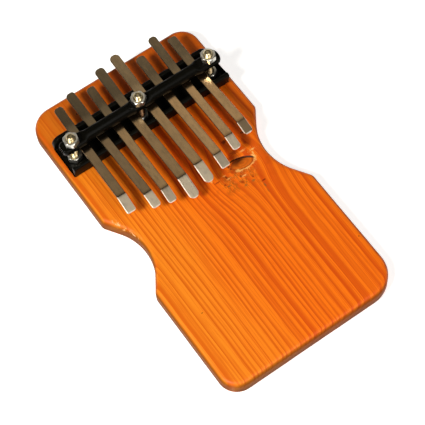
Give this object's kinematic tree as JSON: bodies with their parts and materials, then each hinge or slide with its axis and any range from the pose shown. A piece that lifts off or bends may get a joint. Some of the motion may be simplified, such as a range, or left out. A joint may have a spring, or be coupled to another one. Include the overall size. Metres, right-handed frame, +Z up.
{
  "type": "mbira",
  "caption": "Thumb piano: steel tines held over a channel bridge by a pressure bar on a waisted softwood board; the tips are pressed down and let go.",
  "frame": {"origin": "centre of the board's underside", "axes": "+Z up out of the board, +Y along the board towards the bridge and the tines' tails, +X to the player's right"},
  "size_m": [0.108, 0.197, 0.0352],
  "materials": {
    "pine": "orange varnish over softwood, satin gloss",
    "channel_paint": "black gloss paint",
    "bar_paint": "black semi-gloss paint",
    "tine": "spring steel, satin, worn bright at the tips",
    "bolt": "yellow zinc plate",
    "washer": "bright zinc plate",
    "base_nut": "bright zinc plate",
    "top_nut": "bright zinc plate, lightly dulled"
  },
  "bodies": {
    "base": {"board": "pine", "bridge_channel": "channel_paint", "bolt_left": "bolt", "washer_left": "washer", "base_nut_left": "base_nut", "bolt_middle": "bolt", "washer_middle": "washer", "base_nut_middle": "base_nut", "bolt_right": "bolt", "washer_right": "washer", "base_nut_right": "base_nut"},
    "bar": {"pressure_bar": "bar_paint"},
    "nut_left": {"top_nut_left": "top_nut"},
    "nut_middle": {"top_nut_middle": "top_nut"},
    "nut_right": {"top_nut_right": "top_nut"},
    "tine_1": {"tine_1_root": "tine"},
    "tongue_1": {"tine_1_tongue": "tine"},
    "tine_2": {"tine_2_root": "tine"},
    "tongue_2": {"tine_2_tongue": "tine"},
    "tine_3": {"tine_3_root": "tine"},
    "tongue_3": {"tine_3_tongue": "tine"},
    "tine_4": {"tine_4_root": "tine"},
    "tongue_4": {"tine_4_tongue": "tine"},
    "tine_5": {"tine_5_root": "tine"},
    "tongue_5": {"tine_5_tongue": "tine"},
    "tine_6": {"tine_6_root": "tine"},
    "tongue_6": {"tine_6_tongue": "tine"},
    "tine_7": {"tine_7_root": "tine"},
    "tongue_7": {"tine_7_tongue": "tine"},
    "tine_8": {"tine_8_root": "tine"},
    "tongue_8": {"tine_8_tongue": "tine"}
  },
  "joints": [
    {"name": "bar_lift", "type": "slide", "parent": "base", "child": "bar", "axis": [0, 0, 1], "range_m": [0, 0.0016]},
    {"name": "nut_left_turn", "type": "hinge", "parent": "bar", "child": "nut_left", "pos_m": [-0.0443, 0.0617, 0.031], "axis": [0, 0, 1], "range_deg": [0, 720]},
    {"name": "nut_middle_turn", "type": "hinge", "parent": "bar", "child": "nut_middle", "pos_m": [-0.0012, 0.0617, 0.031], "axis": [0, 0, 1], "range_deg": [0, 720]},
    {"name": "nut_right_turn", "type": "hinge", "parent": "bar", "child": "nut_right", "pos_m": [0.0446, 0.0617, 0.031], "axis": [0, 0, 1], "range_deg": [0, 720]},
    {"name": "tine_1_tune", "type": "slide", "parent": "base", "child": "tine_1", "axis": [0.0192, 0.9998, 0], "range_m": [-0.003, 0.003]},
    {"name": "tine_1_flex", "type": "hinge", "parent": "tine_1", "child": "tongue_1", "pos_m": [-0.03872, 0.05025, 0.0221], "axis": [0.9998, -0.0192, 0], "range_deg": [-2, 3], "stiffness_Nm_per_rad": 6.9},
    {"name": "tine_2_tune", "type": "slide", "parent": "base", "child": "tine_2", "axis": [-0.0105, 0.9999, 0], "range_m": [-0.003, 0.003]},
    {"name": "tine_2_flex", "type": "hinge", "parent": "tine_2", "child": "tongue_2", "pos_m": [-0.02758, 0.05025, 0.0221], "axis": [0.9999, 0.0105, 0], "range_deg": [-2, 3], "stiffness_Nm_per_rad": 6},
    {"name": "tine_3_tune", "type": "slide", "parent": "base", "child": "tine_3", "axis": [0.0209, 0.9998, 0], "range_m": [-0.003, 0.003]},
    {"name": "tine_3_flex", "type": "hinge", "parent": "tine_3", "child": "tongue_3", "pos_m": [-0.01764, 0.05025, 0.0221], "axis": [0.9998, -0.0209, 0], "range_deg": [-2, 3], "stiffness_Nm_per_rad": 5.4},
    {"name": "tine_4_tune", "type": "slide", "parent": "base", "child": "tine_4", "axis": [0.007, 1, 0], "range_m": [-0.003, 0.003]},
    {"name": "tine_4_flex", "type": "hinge", "parent": "tine_4", "child": "tongue_4", "pos_m": [-0.00698, 0.05025, 0.0221], "axis": [1, -0.007, 0], "range_deg": [-2, 3], "stiffness_Nm_per_rad": 5.6},
    {"name": "tine_5_tune", "type": "slide", "parent": "base", "child": "tine_5", "axis": [0.0035, 1, 0], "range_m": [-0.003, 0.003]},
    {"name": "tine_5_flex", "type": "hinge", "parent": "tine_5", "child": "tongue_5", "pos_m": [0.00446, 0.05025, 0.0221], "axis": [1, -0.0035, 0], "range_deg": [-2, 3], "stiffness_Nm_per_rad": 5.9},
    {"name": "tine_6_tune", "type": "slide", "parent": "base", "child": "tine_6", "axis": [0.0035, 1, 0], "range_m": [-0.003, 0.003]},
    {"name": "tine_6_flex", "type": "hinge", "parent": "tine_6", "child": "tongue_6", "pos_m": [0.01586, 0.05025, 0.0221], "axis": [1, -0.0035, 0], "range_deg": [-2, 3], "stiffness_Nm_per_rad": 5.7},
    {"name": "tine_7_tune", "type": "slide", "parent": "base", "child": "tine_7", "axis": [0.014, 0.9999, 0], "range_m": [-0.003, 0.003]},
    {"name": "tine_7_flex", "type": "hinge", "parent": "tine_7", "child": "tongue_7", "pos_m": [0.02764, 0.05025, 0.0221], "axis": [0.9999, -0.014, 0], "range_deg": [-2, 3], "stiffness_Nm_per_rad": 6.2},
    {"name": "tine_8_tune", "type": "slide", "parent": "base", "child": "tine_8", "axis": [-0.007, 1, 0], "range_m": [-0.003, 0.003]},
    {"name": "tine_8_flex", "type": "hinge", "parent": "tine_8", "child": "tongue_8", "pos_m": [0.03758, 0.05025, 0.0221], "axis": [1, 0.007, 0], "range_deg": [-2, 3], "stiffness_Nm_per_rad": 7.2}
  ],
  "couplings": [
    {"joint": "nut_left_turn", "follows": "bar_lift", "rad_per_m": 7854},
    {"joint": "nut_middle_turn", "follows": "bar_lift", "rad_per_m": 7854},
    {"joint": "nut_right_turn", "follows": "bar_lift", "rad_per_m": 7854}
  ]
}
